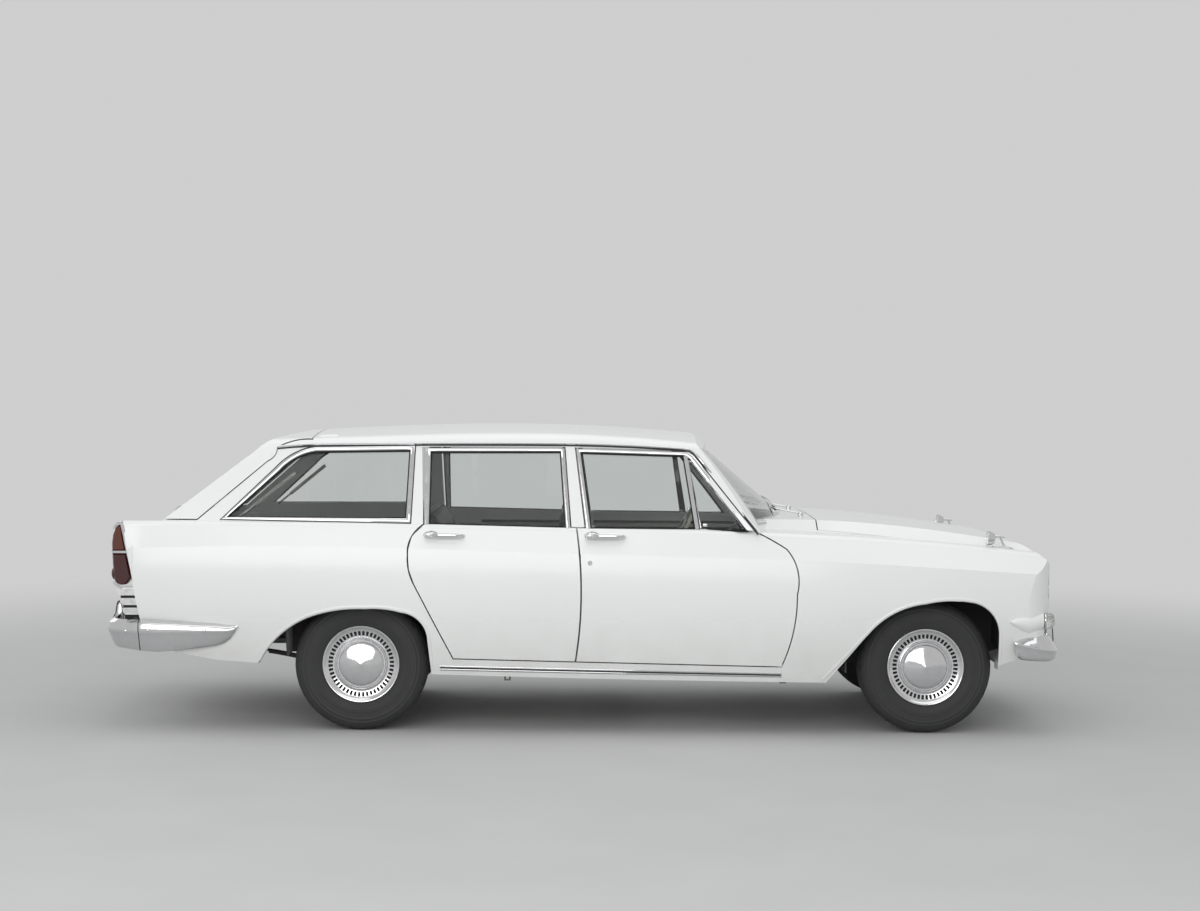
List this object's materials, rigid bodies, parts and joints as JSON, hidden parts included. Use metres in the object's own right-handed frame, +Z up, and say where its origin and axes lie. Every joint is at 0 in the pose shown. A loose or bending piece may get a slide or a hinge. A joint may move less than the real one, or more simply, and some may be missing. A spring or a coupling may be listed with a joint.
{
  "type": "station wagon",
  "caption": "Long finned estate car with four side doors, a top-hinged tailgate, round lamps in a full-width grille and turning, steered wheels.",
  "frame": {"origin": "on the ground, below the middle of the length and width", "axes": "+X forward, +Y to the car's left, +Z up"},
  "size_m": [4.636, 1.753, 1.4765],
  "materials": {
    "chrome": "polished",
    "engine": "satin",
    "glass": "clear",
    "lens_clear": "clear",
    "lens_red": "gloss",
    "paint": "gloss",
    "seat": "satin",
    "steel": "satin",
    "trim": "matt",
    "tyre": "matt",
    "under": "satin",
    "wheel": "polished"
  },
  "bodies": {
    "body": {"body_sides": "paint", "bulkhead": "paint", "dashboard": "trim", "door_posts": "paint", "engine": "engine", "exhaust": "steel", "floor_pan": "under", "front_bumper": "chrome", "front_panel": "paint", "front_seat": "seat", "front_suspension": "steel", "front_wings": "paint", "fuel_tank": "steel", "grille": "chrome", "headlamps": "lens_clear", "inner_wings": "under", "mirrors": "chrome", "propeller_shaft": "steel", "quarter_glass": "glass", "rear_axle": "steel", "rear_bumper": "chrome", "rear_panel": "paint", "rear_seat": "seat", "roof": "paint", "scuttle": "paint", "side_lamps": "lens_clear", "tail_lamps": "lens_red", "windscreen": "glass"},
    "door_front_right": {"door_front_right": "paint", "door_front_right_glass": "glass"},
    "door_front_left": {"door_front_left": "paint", "door_front_left_glass": "glass"},
    "door_rear_right": {"door_rear_right": "paint", "door_rear_right_glass": "glass"},
    "door_rear_left": {"door_rear_left": "paint", "door_rear_left_glass": "glass"},
    "tailgate": {"tailgate": "paint", "tailgate_glass": "glass"},
    "bonnet": {"bonnet": "paint"},
    "steering_wheel": {"steering_wheel": "trim"},
    "knuckle_right": {"knuckle_right": "steel"},
    "knuckle_left": {"knuckle_left": "steel"},
    "wheel_front_right": {"tyre_front_right": "tyre", "wheel_front_right": "wheel"},
    "wheel_front_left": {"tyre_front_left": "tyre", "wheel_front_left": "wheel"},
    "wheel_rear_right": {"tyre_rear_right": "tyre", "wheel_rear_right": "wheel"},
    "wheel_rear_left": {"tyre_rear_left": "tyre", "wheel_rear_left": "wheel"}
  },
  "joints": [
    {"name": "door_front_right_hinge", "type": "hinge", "parent": "body", "child": "door_front_right", "pos_m": [1.062, -0.869, 0.6], "axis": [0, 0, 1], "range_deg": [0, 65]},
    {"name": "door_front_left_hinge", "type": "hinge", "parent": "body", "child": "door_front_left", "pos_m": [1.062, 0.869, 0.6], "axis": [0, 0, -1], "range_deg": [0, 65]},
    {"name": "door_rear_right_hinge", "type": "hinge", "parent": "body", "child": "door_rear_right", "pos_m": [0.034, -0.869, 0.6], "axis": [0, 0, 1], "range_deg": [0, 65]},
    {"name": "door_rear_left_hinge", "type": "hinge", "parent": "body", "child": "door_rear_left", "pos_m": [0.034, 0.869, 0.6], "axis": [0, 0, -1], "range_deg": [0, 65]},
    {"name": "tailgate_hinge", "type": "hinge", "parent": "body", "child": "tailgate", "pos_m": [-1.292, 0, 1.446], "axis": [0, 1, 0], "range_deg": [0, 78]},
    {"name": "bonnet_hinge", "type": "hinge", "parent": "body", "child": "bonnet", "pos_m": [1.118, 0, 1.022], "axis": [0, -1, 0], "range_deg": [0, 58]},
    {"name": "steering", "type": "hinge", "parent": "body", "child": "steering_wheel", "pos_m": [0.47, -0.36, 0.9], "axis": [-0.8829, 0, 0.4695], "range_deg": [-540, 540]},
    {"name": "kingpin_right", "type": "hinge", "parent": "body", "child": "knuckle_right", "pos_m": [1.658, -0.605, 0.322], "axis": [0, 0.1132, 0.9936], "range_deg": [-34, 34]},
    {"name": "kingpin_left", "type": "hinge", "parent": "body", "child": "knuckle_left", "pos_m": [1.658, 0.605, 0.322], "axis": [0, -0.1132, 0.9936], "range_deg": [-34, 34]},
    {"name": "spin_front_right", "type": "hinge", "parent": "knuckle_right", "child": "wheel_front_right", "pos_m": [1.658, -0.673, 0.322], "axis": [0, 1, 0], "continuous": true},
    {"name": "spin_front_left", "type": "hinge", "parent": "knuckle_left", "child": "wheel_front_left", "pos_m": [1.658, 0.673, 0.322], "axis": [0, 1, 0], "continuous": true},
    {"name": "spin_rear_right", "type": "hinge", "parent": "body", "child": "wheel_rear_right", "pos_m": [-1.06, -0.673, 0.322], "axis": [0, 1, 0], "continuous": true},
    {"name": "spin_rear_left", "type": "hinge", "parent": "body", "child": "wheel_rear_left", "pos_m": [-1.06, 0.673, 0.322], "axis": [0, 1, 0], "continuous": true}
  ],
  "couplings": [
    {"joint": "kingpin_right", "follows": "steering", "ratio": 0.0625},
    {"joint": "kingpin_left", "follows": "steering", "ratio": 0.0625}
  ]
}
